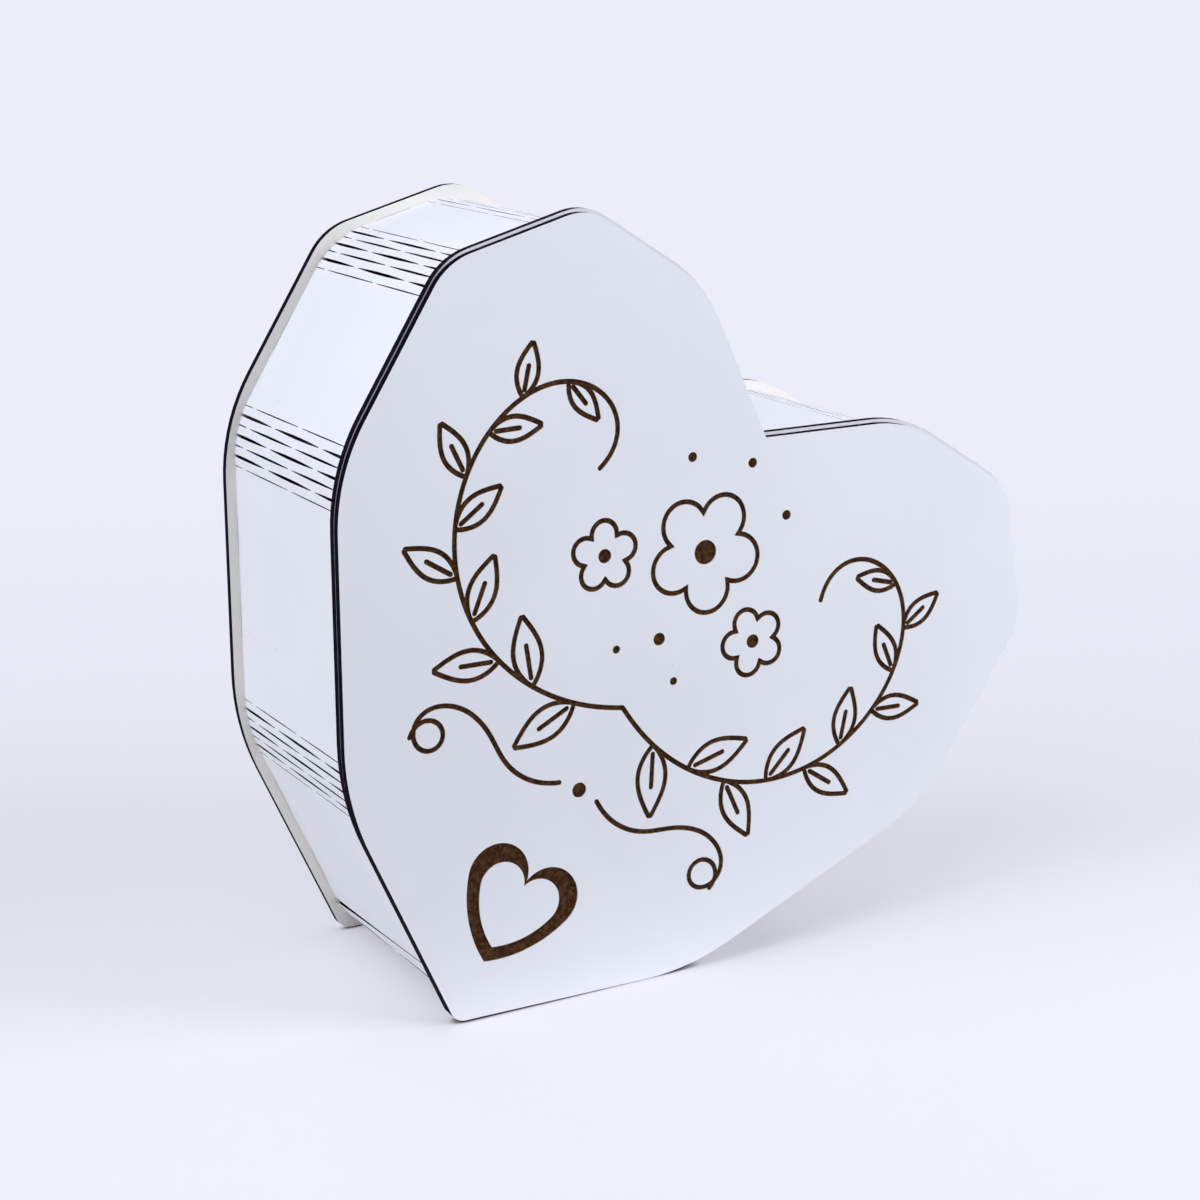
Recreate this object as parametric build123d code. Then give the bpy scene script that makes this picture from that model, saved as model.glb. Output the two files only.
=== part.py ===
"""Heart-shaped gift box of thin white-faced board, cut by laser, standing on one straight side of its heart.

The box is drawn as it lies on its back: the heart in X and Y with its tip at the origin, and Z running
from the back panel to the lid. At the end every piece is stood up, so that the lid faces -Y.
"""
import os
from math import cos, degrees, radians, tan

from build123d import *

os.makedirs("parts", exist_ok=True)

# Sheet and depth
board = 3.0               # thickness of every sheet piece
box_depth = 100.0         # outer face of the lid to outer face of the back panel

# Heart outline of the back panel and the rim, by its corners before they are rounded
heart_width = 269.2
heart_height = 253.8      # from the tip to the crown
notch_depth = 31.4        # from the crown down to the notch

# Straight sides of one half, from the tip round to the notch: how far each runs sideways and upwards
tip_side_out = 75.6
tip_side_up = 49.4
flank_up = 90.2
side_out = 1.3
shoulder_in = 34.6
shoulder_up = 39.2
crown_in = 51.9           # the crown runs level

# Radius of the plates at each bend; the notch stays sharp
tip_radius = 6.0
low_radius = 88.0
side_radius = 70.0
shoulder_radius = 23.0
crown_radius = 18.0
inner_radius = 47.0
least_radius = 2.0        # smallest inside corner on an inset outline

# Wall: one strip of board, bent at a slit hinge behind each rounded bend
wall_setback = 3.5        # the wall's outer face lies this far inside the plates' edge
hinge_rows = 7            # rows of slits in each hinge
tip_rows = 3              # fewer at the tip, where the strip is bent more sharply
row_pitch = 3.4           # from one row to the next, along the strip
slit_width = 0.7          # a slit, opened a little by the bend
slit_length = 37.0
slit_bridge = 3.4         # board left between two slits of a row
slit_shift = 3.5          # the slit pattern lies this much nearer the lid than the middle of the wall
seam_gap = 0.2            # between the two ends of the strip, in the notch

# Tabs of the wall in slots of the back panel and the rim
tab_length = 12.0
tab_pitch = 30.0          # between the two tabs of a long wall panel
tab_margin = 6.0          # least board left between a tab and the end of its panel
slot_clearance = 0.1      # on each side of a tab

# Lid: a panel on the rim, with an insert that fits in the rim's opening
rim_lip = 7.5             # the rim reaches this far inside the wall
insert_play = 1.0         # between the insert and the opening, all round, before the lid hangs down
hanging_gap = 0.5         # what the hanging lid leaves of that play below
lid_aside = 0.5           # the lid also sits this far to the left, towards the tip
foot_gap = 0.1            # the lid panel hangs this far above the floor

# Sizes that follow
flank_out = heart_width / 2 - tip_side_out - side_out
side_up = heart_height - tip_side_up - flank_up - shoulder_up
rim_width = wall_setback + board + rim_lip
lid_drop = insert_play - hanging_gap
lid_step = lid_drop + foot_gap    # the lid panel is this much smaller than the rim, all round

# Heights as the box lies on its back
wall_bottom = board
wall_width = box_depth - 3 * board
rim_bottom = wall_bottom + wall_width
lid_bottom = rim_bottom + board


class Bend:
    """One corner of the heart: its name, place, and the directions of the side before and the side after."""

    def __init__(self, name, point, radius):
        self.name = name
        self.point = point
        self.radius = radius

    def join(self, before, after):
        self.arriving = (self.point - before.point).normalized()
        self.leaving = (after.point - self.point).normalized()
        self.inward = (turned_left(self.arriving) + turned_left(self.leaving)).normalized()
        self.turn = radians(self.arriving.get_signed_angle(self.leaving, Vector(0, 0, 1)))
        self.half_turn = abs(self.turn) / 2
        self.convex = self.turn > 0

    def tangent_length(self, radius):
        return radius * tan(self.half_turn)


def turned_left(direction):
    """A direction in the plane, turned a quarter to the left, which is into the heart."""
    return Vector(-direction.Y, direction.X)


# Each straight side of the right half, with the bend that ends it and that bend's radius
right_sides = [
    ("low", tip_side_out, tip_side_up, low_radius),
    ("side", flank_out, flank_up, side_radius),
    ("shoulder", side_out, side_up, shoulder_radius),
    ("crown", -shoulder_in, shoulder_up, crown_radius),
    ("inner", -crown_in, 0.0, inner_radius),
]


def heart_bends(inset):
    """The twelve bends of the heart, run round from the tip by the right side, with every side moved inwards."""
    right_half = []
    out, up = 0.0, 0.0
    for name, step_out, step_up, radius in right_sides:
        out += step_out
        up += step_up
        right_half.append((name, out, up, radius))
    bends = [Bend("tip", Vector(0, 0), tip_radius)]
    bends += [Bend("right_" + name, Vector(out, up), radius) for name, out, up, radius in right_half]
    bends += [Bend("notch", Vector(0, up - notch_depth), 0.0)]
    bends += [Bend("left_" + name, Vector(-out, up), radius) for name, out, up, radius in reversed(right_half)]
    join_all(bends)
    for bend in bends:
        bend.point = bend.point + bend.inward * (inset / cos(bend.half_turn))
        if bend.convex:
            bend.radius = max(bend.radius - inset, least_radius)
    join_all(bends)
    return bends


def join_all(bends):
    for index, bend in enumerate(bends):
        bend.join(bends[index - 1], bends[(index + 1) % len(bends)])


def heart_face(inset):
    """The heart as a flat face: straight sides, with an arc at every rounded bend."""
    bends = heart_bends(inset)
    edges = []
    for index, bend in enumerate(bends):
        after = bends[(index + 1) % len(bends)]
        start = bend.point + bend.leaving * bend.tangent_length(bend.radius)
        end = after.point - after.arriving * after.tangent_length(after.radius)
        edges.append(Line(start, end))
        if after.radius > 0:
            arc_end = after.point + after.leaving * after.tangent_length(after.radius)
            sagging = after.radius / cos(after.half_turn) - after.radius
            edges.append(ThreePointArc(end, after.point + after.inward * sagging, arc_end))
    return make_face(edges)


def plate(face, bottom):
    """A flat face given the thickness of the board."""
    return Pos(0, 0, bottom) * extrude(face, board)


# Wall strip: its middle line follows the heart, well inside the plates' edge
wall_bends = heart_bends(wall_setback + board / 2)
wall_middle = wall_bottom + wall_width / 2


def row_count(bend):
    return tip_rows if bend.name == "tip" else hinge_rows


def hinge_radius(bend):
    """The middle of the board bends on this radius, so that the hinge has room for its rows of slits."""
    return row_count(bend) * row_pitch / abs(bend.turn)


def panel_end(bend):
    """How far short of its bend a flat wall panel stops: at the hinge, or at the seam in the notch."""
    if bend.convex:
        return bend.tangent_length(hinge_radius(bend))
    return board / 2 * tan(bend.half_turn) + seam_gap / 2


class WallPanel:
    """A flat stretch of the strip from one bend to the next, with its own plane: X along it, Z across the strip."""

    def __init__(self, before, after):
        self.start = before.point + before.leaving * panel_end(before)
        self.end = after.point - after.arriving * panel_end(after)
        self.length = (self.end - self.start).length
        middle = (self.start + self.end) / 2
        along = (self.end - self.start).normalized()
        origin = (middle.X, middle.Y, wall_middle)
        self.plane = Plane(origin=origin, x_dir=(along.X, along.Y, 0), z_dir=(0, 0, 1))
        two_tabs = self.length > tab_pitch + tab_length + 2 * tab_margin
        self.tab_places = [-tab_pitch / 2, tab_pitch / 2] if two_tabs else [0.0]

    def tabs(self, clearance):
        """The tabs on both edges of the panel, or with a clearance the slots that take them."""
        boxes = []
        for place in self.tab_places:
            for edge in (-1, 1):
                height = edge * (wall_width + board) / 2
                box = Box(tab_length + 2 * clearance, board + 2 * clearance, board)
                boxes.append(self.plane * Pos(place, 0, height) * box)
        return boxes

    def solid(self):
        return self.plane * Box(self.length, board, wall_width) + self.tabs(0.0)


def slit_spans(row):
    """Where the slits of a row begin and end, across the strip; every second row is shifted by half a step."""
    step = slit_length + slit_bridge
    middle = slit_shift + (step / 2 if row % 2 == 0 else 0.0)
    steps_each_way = int(wall_width / step) + 1
    spans = []
    for place in range(-steps_each_way, steps_each_way + 1):
        low = max(middle + place * step - slit_length / 2, -wall_width / 2 - board)
        high = min(middle + place * step + slit_length / 2, wall_width / 2 + board)
        if low < wall_width / 2 and high > -wall_width / 2:
            spans.append((low, high))
    return spans


def hinge_solid(bend):
    """A bent stretch of the strip: an arc of board with its rows of slits cut right through."""
    radius = hinge_radius(bend)
    reach = bend.tangent_length(radius)
    start = bend.point - bend.arriving * reach
    centre = start + turned_left(bend.arriving) * radius
    outward = -bend.inward
    middle_plane = Plane(origin=(centre.X, centre.Y, wall_middle), x_dir=(outward.X, outward.Y, 0), z_dir=(0, 0, 1))
    half_angle = degrees(bend.half_turn)
    arc = CenterArc((0, 0), radius - board / 2, -half_angle, 2 * half_angle)
    outer_arc = CenterArc((0, 0), radius + board / 2, -half_angle, 2 * half_angle)
    ends = [Line(arc @ 0, outer_arc @ 0), Line(arc @ 1, outer_arc @ 1)]
    slab = extrude(make_face([arc, outer_arc] + ends), wall_width / 2, both=True)
    slits = []
    rows = row_count(bend)
    for row in range(rows):
        angle = degrees((row - (rows - 1) / 2) * row_pitch / radius)
        for low, high in slit_spans(row):
            slit = Box(2 * board, slit_width, high - low)
            slits.append(Rot(0, 0, angle) * Pos(radius, 0, (low + high) / 2) * slit)
    return middle_plane * (slab - slits)


panel_names = ["wall_right_tip", "wall_right_flank", "wall_right_side", "wall_right_shoulder", "wall_right_crown",
               "wall_right_notch", "wall_left_notch", "wall_left_crown", "wall_left_shoulder", "wall_left_side",
               "wall_left_flank", "wall_left_tip"]
wall_panels = {}
for index, name in enumerate(panel_names):
    wall_panels[name] = WallPanel(wall_bends[index], wall_bends[(index + 1) % len(wall_bends)])
slots = [slot for panel in wall_panels.values() for slot in panel.tabs(slot_clearance)]

# The pieces, as the box lies on its back
pieces = {}
pieces["back_panel"] = plate(heart_face(0.0), 0.0) - slots
for name, panel in wall_panels.items():
    pieces[name] = panel.solid()
for bend in wall_bends:
    if bend.convex:
        pieces["hinge_" + bend.name] = hinge_solid(bend)
pieces["front_rim"] = plate(heart_face(0.0) - heart_face(rim_width), rim_bottom) - slots
pieces["lid_panel"] = plate(heart_face(lid_step), lid_bottom)
pieces["lid_insert"] = plate(heart_face(rim_width + insert_play), rim_bottom)

# Standing: the straight side from the tip to the right low bend goes on the floor, the lid faces -Y
standing_side = heart_bends(0.0)[0].leaving
lean = Vector(1, 0).get_angle(standing_side)
stand = Rot(0, lean, 0) * Rot(90, 0, 0)
box = (stand * pieces["back_panel"]).bounding_box()
to_origin = Pos(-(box.min.X + box.max.X) / 2, box_depth / 2, -box.min.Z)
for name, piece in pieces.items():
    hang = Pos(-lid_aside, 0, -lid_drop) if name.startswith("lid_") else Pos(0, 0, 0)
    standing = hang * to_origin * stand * piece
    export_step(standing, f"parts/{name}.step")
    print(f"{name:22s} {standing.volume / 1000:8.2f} cm3")
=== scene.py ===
# %% [markdown]
# A heart-shaped gift box of thin white board, cut by laser. The box has four flat heart-shaped boards, and
# one long strip that is bent to a heart and stands between them as a wall. The CAD model gives the sizes and
# the joint of the lid. This lesson dresses it: the boards that are right already only get a finish, while
# the bent wall and the engraved lid are made again with more detail. Sizes of the box are in millimetres, and
# the scene itself is in metres.

# %% Load the CAD frame
import math

import bpy
import numpy as np
from mathutils import Matrix, Vector
from mathutils.geometry import delaunay_2d_cdt


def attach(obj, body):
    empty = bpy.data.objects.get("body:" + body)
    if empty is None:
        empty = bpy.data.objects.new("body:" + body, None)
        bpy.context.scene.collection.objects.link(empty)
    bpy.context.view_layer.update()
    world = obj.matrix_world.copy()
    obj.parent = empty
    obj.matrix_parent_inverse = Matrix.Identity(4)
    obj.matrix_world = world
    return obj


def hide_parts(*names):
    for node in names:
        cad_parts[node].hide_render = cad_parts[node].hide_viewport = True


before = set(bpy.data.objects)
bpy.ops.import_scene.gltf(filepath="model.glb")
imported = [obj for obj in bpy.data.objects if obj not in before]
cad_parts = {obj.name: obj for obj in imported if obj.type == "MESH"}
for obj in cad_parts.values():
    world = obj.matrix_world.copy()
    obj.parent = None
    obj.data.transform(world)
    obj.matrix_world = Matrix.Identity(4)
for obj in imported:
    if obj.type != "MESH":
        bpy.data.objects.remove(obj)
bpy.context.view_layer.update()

# %% [markdown]
# The heart is drawn flat, as its maker drew it for the laser: straight sides from corner to corner, with
# the tip at the origin and the axis straight up. Each corner is then rounded. It could be traced as a curve
# and offset by hand. Here the outline is worked out as arrays instead, one row for each corner, so that an
# inset of any size gives the lid, the rim or the line of the wall.

# %% Sizes of the box
BOARD = 3.0
BOX_DEPTH = 100.0
HEART_WIDTH, HEART_HEIGHT, NOTCH_DEPTH = 269.2, 253.8, 31.4
TIP_SIDE_OUT, TIP_SIDE_UP = 75.6, 49.4
FLANK_UP, SIDE_OUT = 90.2, 1.3
SHOULDER_IN, SHOULDER_UP, CROWN_IN = 34.6, 39.2, 51.9
FLANK_OUT = HEART_WIDTH / 2 - TIP_SIDE_OUT - SIDE_OUT
SIDE_UP = HEART_HEIGHT - TIP_SIDE_UP - FLANK_UP - SHOULDER_UP
HALF_SIDES = np.array([(TIP_SIDE_OUT, TIP_SIDE_UP), (FLANK_OUT, FLANK_UP), (SIDE_OUT, SIDE_UP),
                       (-SHOULDER_IN, SHOULDER_UP), (-CROWN_IN, 0.0)])
TIP_RADIUS, LEAST_RADIUS = 6.0, 2.0
HALF_RADII = np.array([88.0, 70.0, 23.0, 18.0, 47.0])
CORNER_RADII = np.concatenate([[TIP_RADIUS], HALF_RADII, [0.0], HALF_RADII[::-1]])
NOTCH = 6                                   # the notch's place in the list of corners
PER_METRE = 1000                            # millimetres in a metre
print("heart:", HEART_WIDTH, "mm wide and", HEART_HEIGHT, "mm high along its axis")

# %% The heart's outline
ARC_POINTS = 25
SAME_POINT = 1e-6


def turned_left(direction):
    """A quarter turn to the left: (x, y) becomes (-y, x)."""
    return np.stack([-direction[..., 1], direction[..., 0]], axis=-1)


def bends_of(corners):
    """At each corner: the directions of the sides before and after it, and the angle between them."""
    arriving = corners - np.roll(corners, 1, axis=0)
    arriving /= np.linalg.norm(arriving, axis=1, keepdims=True)
    leaving = np.roll(arriving, -1, axis=0)
    turn = np.arctan2(np.sum(turned_left(arriving) * leaving, axis=1), np.sum(arriving * leaving, axis=1))
    return arriving, leaving, turn


def heart_corners(inset):
    """The heart's twelve corners, tip first and round by the right side, with every side moved inwards.

    With n and m the inward normals of a corner's two sides, it moves by inset (n + m) / (1 + n.m).
    """
    half = np.cumsum(HALF_SIDES, axis=0)
    notch = [[0.0, HEART_HEIGHT - NOTCH_DEPTH]]
    corners = np.vstack([[[0.0, 0.0]], half, notch, half[::-1] * [-1, 1]])
    arriving, leaving, _ = bends_of(corners)
    before, after = turned_left(arriving), turned_left(leaving)
    return corners + inset * (before + after) / (1 + np.sum(before * after, axis=1, keepdims=True))


def heart_outline(inset):
    """The heart as one closed line of points, with every corner swept as an arc.

    An arc of radius r starts r tan(turn / 2) before its corner. Its centre lies r to the left of that point.
    """
    corners = heart_corners(inset)
    arriving, _, turn = bends_of(corners)
    radius = np.where(turn > 0, np.maximum(CORNER_RADII - inset, LEAST_RADIUS), 0.0)[:, None]
    inward = turned_left(arriving)
    centre = corners - arriving * radius * np.tan(turn / 2)[:, None] + inward * radius
    first_angle = np.arctan2(-inward[:, 1], -inward[:, 0])
    angle = first_angle[:, None] + turn[:, None] * np.linspace(0, 1, ARC_POINTS)
    points = centre[:, None] + radius[..., None] * np.stack([np.cos(angle), np.sin(angle)], axis=-1)
    points = points.reshape(-1, 2)
    moved = np.linalg.norm(points - np.roll(points, 1, axis=0), axis=1) > SAME_POINT
    moved[NOTCH * ARC_POINTS] = True        # the notch is a single point, which is kept once
    return points[moved]


flat_heart = heart_outline(0.0)
print("outline of the back panel:", len(flat_heart), "points")

# %% Stand the heart up
LEAN = math.atan2(TIP_SIDE_UP, TIP_SIDE_OUT)
level = flat_heart[:, 0] * math.cos(LEAN) + flat_heart[:, 1] * math.sin(LEAN)
MIDDLE = (level.min() + level.max()) / 2


def standing(points, height, aside=0.0, drop=0.0):
    """Flat heart points, at a height above the back face, as points of the standing box in metres.

    The heart is turned until the side right of its tip lies level, and its height points along -Y.
    """
    x = points[..., 0] * math.cos(LEAN) + points[..., 1] * math.sin(LEAN) - MIDDLE - aside
    z = points[..., 1] * math.cos(LEAN) - points[..., 0] * math.sin(LEAN) - drop
    y = BOX_DEPTH / 2 - np.broadcast_to(height, x.shape)
    return np.stack([x, y, z], axis=-1) / PER_METRE


print("heart turned by", round(math.degrees(LEAN), 2), "degrees, its middle at", round(MIDDLE, 3), "mm")

# %% [markdown]
# The board is fibreboard with a satin white lacquered face. The laser leaves nearly black edges where the
# beam cut right through, with fine lines across the thickness, and matt brown where it only burned the face,
# paler on the small walls of a groove. The back panel is a warmer grey on its inner face, as if smoke of the
# cutting had stayed there. Painted pictures could show all this, but they would have to be unwrapped and kept
# as files. Noise on Object coordinates stays with the board by itself. Small helpers keep the node trees
# short.


# %% Helpers for node trees
def new_finish(name):
    """An empty material with its Principled shader."""
    material = bpy.data.materials.new(name)
    material.use_nodes = True
    return material, material.node_tree, material.node_tree.nodes["Principled BSDF"]


def plug(tree, value, socket):
    """A link where the value is a socket, or else the value set on the socket itself."""
    if isinstance(value, bpy.types.NodeSocket):
        tree.links.new(value, socket)
    else:
        socket.default_value = value


def object_place(tree, stretch):
    """Object coordinates in metres, stretched along each axis."""
    place = tree.nodes.new("ShaderNodeTexCoord")
    mapping = tree.nodes.new("ShaderNodeMapping")
    mapping.inputs["Scale"].default_value = stretch
    tree.links.new(place.outputs["Object"], mapping.inputs["Vector"])
    return mapping.outputs["Vector"]


def noise(tree, stretch, detail=3.0, roughness=0.5):
    """Noise with so many cells per metre along each axis."""
    texture = tree.nodes.new("ShaderNodeTexNoise")
    texture.inputs["Scale"].default_value = 1.0
    texture.inputs["Detail"].default_value = detail
    texture.inputs["Roughness"].default_value = roughness
    tree.links.new(object_place(tree, stretch), texture.inputs["Vector"])
    return texture.outputs["Fac"]


def ranged(tree, value, low, high, to_low=0.0, to_high=1.0):
    """The value's part between low and high, spread smoothly over a new range."""
    node = tree.nodes.new("ShaderNodeMapRange")
    node.interpolation_type = "SMOOTHSTEP"
    for name, number in (("From Min", low), ("From Max", high), ("To Min", to_low), ("To Max", to_high)):
        node.inputs[name].default_value = number
    tree.links.new(value, node.inputs["Value"])
    return node.outputs["Result"]


def blended(tree, amount, first, second):
    """The first colour where the amount is 0, the second where it is 1."""
    node = tree.nodes.new("ShaderNodeMix")
    node.data_type = "RGBA"
    plug(tree, amount, node.inputs["Factor"])
    plug(tree, first, node.inputs["A"])
    plug(tree, second, node.inputs["B"])
    return node.outputs["Result"]


# %% Colours and grain of the board
WHITE = (0.875, 0.882, 0.905, 1.0)
WHITE_SHADE = (0.850, 0.856, 0.878, 1.0)
SMOKED = (0.852, 0.826, 0.780, 1.0)
SMOKED_SHADE = (0.828, 0.802, 0.757, 1.0)
SPECK = (0.500, 0.420, 0.330, 1.0)
# charred black; its blue tint, also in the brown lines below, is a painted reflection of the pale blue
# surroundings
CHAR_AND_REFLECTION = (0.0020, 0.0010, 0.0064, 1.0)
CHAR_BROWN_AND_REFLECTION = (0.0080, 0.0042, 0.0076, 1.0)
BURNT = (0.0350, 0.0120, 0.0042, 1.0)
BURNT_PALE = (0.0980, 0.0460, 0.0180, 1.0)
SCORCHED = (0.3000, 0.1950, 0.1150, 1.0)
SCORCHED_PALE = (0.5200, 0.4200, 0.3100, 1.0)
LACQUER_ROUGH, CHAR_ROUGH, BURNT_ROUGH = 0.48, 0.75, 0.85
EDGE_GLOSS, BURNT_GLOSS, FACE_GLOSS = 0.02, 0.08, 0.25

# Cells of noise per metre along each axis, and the part of the noise's range that shows
CLOUDS, CLOUD_RANGE = (14, 14, 14), (0.35, 0.65)
SPECKS, SPECK_RANGE = (420, 420, 420), (0.80, 0.84)
BEAM_LINES, BEAM_RANGE = (1400, 40, 1400), (0.48, 0.75)
BLOTCHES, BLOTCH_RANGE = (640, 640, 640), (0.36, 0.70)
SCORCHES, SCORCH_RANGE = (900, 900, 900), (0.40, 0.65)
LACQUER_GRAIN, BURNT_GRAIN = (700, 700, 700), (2200, 2200, 2200)


def lacquer_colour(tree, shade=WHITE_SHADE, full=WHITE):
    """White with broad faint clouds and a few tiny brown specks of dust from the cutting."""
    cloud = ranged(tree, noise(tree, CLOUDS), *CLOUD_RANGE)
    white = blended(tree, cloud, shade, full)
    speck = ranged(tree, noise(tree, SPECKS, detail=1.0), *SPECK_RANGE)
    return blended(tree, speck, white, SPECK)


def char_and_reflection_colour(tree):
    """Black with fine brown lines along Y, which cross the thickness of the flat boards.

    Both are tinted blue by a painted reflection of the pale surroundings.
    """
    lines = ranged(tree, noise(tree, BEAM_LINES, detail=2.0), *BEAM_RANGE)
    return blended(tree, lines, CHAR_AND_REFLECTION, CHAR_BROWN_AND_REFLECTION)


# %% White lacquer, charred edge, burnt and scorched engraving
# Strength of the grain's relief, and its full rise in metres
LACQUER_RELIEF, BURNT_RELIEF = (0.12, 0.00005), (0.5, 0.0001)


def bumped(tree, height, strength, depth):
    """A normal that follows the height, where depth is its full rise in metres."""
    node = tree.nodes.new("ShaderNodeBump")
    node.inputs["Strength"].default_value = strength
    node.inputs["Distance"].default_value = depth
    tree.links.new(height, node.inputs["Height"])
    return node.outputs["Normal"]


def lacquer_finish():
    """Satin white, with a very fine grain."""
    material, tree, shader = new_finish("white_lacquer")
    plug(tree, lacquer_colour(tree), shader.inputs["Base Color"])
    shader.inputs["Roughness"].default_value = LACQUER_ROUGH
    shader.inputs["Specular IOR Level"].default_value = FACE_GLOSS
    plug(tree, bumped(tree, noise(tree, LACQUER_GRAIN), *LACQUER_RELIEF), shader.inputs["Normal"])
    return material


def char_finish():
    """Matt black with a painted blue reflection, for every edge that the beam cut through."""
    material, tree, shader = new_finish("charred_edge")
    plug(tree, char_and_reflection_colour(tree), shader.inputs["Base Color"])
    shader.inputs["Roughness"].default_value = CHAR_ROUGH
    shader.inputs["Specular IOR Level"].default_value = EDGE_GLOSS
    return material


def burnt_finish():
    """Matt brown in blotches, for the floor of a groove."""
    material, tree, shader = new_finish("burnt_engraving")
    blotch = ranged(tree, noise(tree, BLOTCHES, detail=4.0, roughness=0.6), *BLOTCH_RANGE)
    plug(tree, blended(tree, blotch, BURNT, BURNT_PALE), shader.inputs["Base Color"])
    shader.inputs["Roughness"].default_value = BURNT_ROUGH
    shader.inputs["Specular IOR Level"].default_value = BURNT_GLOSS
    plug(tree, bumped(tree, noise(tree, BURNT_GRAIN), *BURNT_RELIEF), shader.inputs["Normal"])
    return material


def scorched_finish():
    """Matt pale brown in patches, for the small walls of a groove, browned by the heat."""
    material, tree, shader = new_finish("scorched_groove")
    patch = ranged(tree, noise(tree, SCORCHES), *SCORCH_RANGE)
    plug(tree, blended(tree, patch, SCORCHED, SCORCHED_PALE), shader.inputs["Base Color"])
    shader.inputs["Roughness"].default_value = BURNT_ROUGH
    shader.inputs["Specular IOR Level"].default_value = EDGE_GLOSS
    return material


white_lacquer = lacquer_finish()
charred_edge = char_finish()
burnt_engraving = burnt_finish()
scorched_groove = scorched_finish()
lid_finishes = [white_lacquer, charred_edge, burnt_engraving, scorched_groove]
print("finishes:", [finish.name for finish in lid_finishes])

# %% Finish of the flat boards
FACE_SQUARE = 0.7                           # a face of a board looks at least this much along Y


def worked(tree, operation, first, second=0.0):
    """One step of arithmetic."""
    node = tree.nodes.new("ShaderNodeMath")
    node.operation = operation
    plug(tree, first, node.inputs[0])
    plug(tree, second, node.inputs[1])
    return node.outputs["Value"]


def flat_board_finish(name, front_shade, front_full):
    """For a flat board of the CAD model: white where a face looks along Y, charred on every edge.

    The face towards the front has two whites of its own, the face towards the back the plain ones.
    """
    material, tree, shader = new_finish(name)
    facing = tree.nodes.new("ShaderNodeNewGeometry")
    split = tree.nodes.new("ShaderNodeSeparateXYZ")
    tree.links.new(facing.outputs["True Normal"], split.inputs["Vector"])
    is_face = worked(tree, "GREATER_THAN", worked(tree, "ABSOLUTE", split.outputs["Y"]), FACE_SQUARE)
    is_front = worked(tree, "LESS_THAN", split.outputs["Y"], 0.0)
    front_colour = lacquer_colour(tree, front_shade, front_full)
    face_colour = blended(tree, is_front, lacquer_colour(tree), front_colour)
    plug(tree, blended(tree, is_face, char_and_reflection_colour(tree), face_colour), shader.inputs["Base Color"])
    plug(tree, ranged(tree, is_face, 0.0, 1.0, CHAR_ROUGH, LACQUER_ROUGH), shader.inputs["Roughness"])
    shader.inputs["Specular IOR Level"].default_value = EDGE_GLOSS
    return material


flat_board = flat_board_finish("flat_board", WHITE_SHADE, WHITE)
smoked_board = flat_board_finish("smoked_board", SMOKED_SHADE, SMOKED)
board_finishes = {"back_panel": smoked_board, "front_rim": flat_board, "lid_insert": flat_board}
for name, finish in board_finishes.items():
    board_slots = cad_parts[name].data.materials
    board_slots.clear()
    board_slots.append(finish)
print("finished boards:", *board_finishes)

# %% [markdown]
# The wall is one strip of the same board. It can't bend by itself, so the laser cut rows of slits behind
# every corner of the heart. Each row bends a little, and its slits open to thin lenses, wide in the middle
# and narrow at their ends. Just before the tip there is also a seam, a little askew, which gapes at the back.
# A boolean cut would need hundreds of cutters. Here the strip is a grid instead: one direction runs along the
# strip, one across it. Each row of slits has two grid lines that part and come close again, and the cells
# between them are left out wherever there is a slit.

# %% The line of the wall
WALL_SETBACK = 3.5
HINGE_ROWS, TIP_ROWS, ROW_PITCH = 7, 3, 3.4
SEAM_GAP = 0.2
TIP_BEND, BENDS = 6, 12                     # places in the strip, which starts at the notch


def wall_line():
    """The middle of the strip, from the notch round by the left side: runs with an arc at each bend.

    An arc is as long as its rows of slits, so its radius is that length divided by the turn.
    """
    corners = np.roll(heart_corners(WALL_SETBACK + BOARD / 2), -NOTCH, axis=0)
    arriving, leaving, turn = bends_of(corners)
    rows = np.full(BENDS, HINGE_ROWS)
    rows[TIP_BEND] = TIP_ROWS
    radius = rows * ROW_PITCH / np.abs(turn)
    cut = radius * np.tan(np.abs(turn) / 2)
    cut[0] = BOARD / 2 * math.tan(abs(turn[0]) / 2) + SEAM_GAP / 2
    run = np.linalg.norm(np.roll(corners, -1, axis=0) - corners, axis=1) - cut - np.roll(cut, -1)
    inward = turned_left(arriving)
    lengths = np.zeros(2 * BENDS)
    lengths[0::2] = run
    lengths[1::2] = np.roll(rows * ROW_PITCH, -1)
    starts = np.concatenate([[0.0], np.cumsum(lengths)[:-1]])
    return {
        "rows": rows, "starts": starts[:-1], "lengths": lengths[:-1], "radius": radius,
        "run_start": corners + leaving * cut[:, None], "leaving": leaving,
        "centre": corners - arriving * cut[:, None] + inward * radius[:, None],
        "angle": np.arctan2(-inward[:, 1], -inward[:, 0]),
    }


line = wall_line()


def wall_points(along, out):
    """Points of the strip, at a way along its middle line and a distance out from it.

    On a straight run: start + way * direction. On an arc: centre + radius * (cos, sin), where the angle
    grows by way / radius.
    """
    part = np.searchsorted(line["starts"], along, side="right") - 1
    part = np.clip(part, 0, len(line["starts"]) - 1)
    way = along - line["starts"][part]
    run, bend = part // 2, (part + 1) // 2 % BENDS
    direction = line["leaving"][run]
    straight = line["run_start"][run] + direction * way[..., None] - turned_left(direction) * out
    angle = line["angle"][bend] + way / line["radius"][bend]
    ray = np.stack([np.cos(angle), np.sin(angle)], axis=-1)
    bent = line["centre"][bend] + ray * (line["radius"][bend][..., None] + out)
    return np.where((part % 2 == 1)[..., None], bent, straight)


strip_length = line["starts"][-1] + line["lengths"][-1]
print("strip of the wall:", round(strip_length, 1), "mm long, cut from one board")

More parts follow.
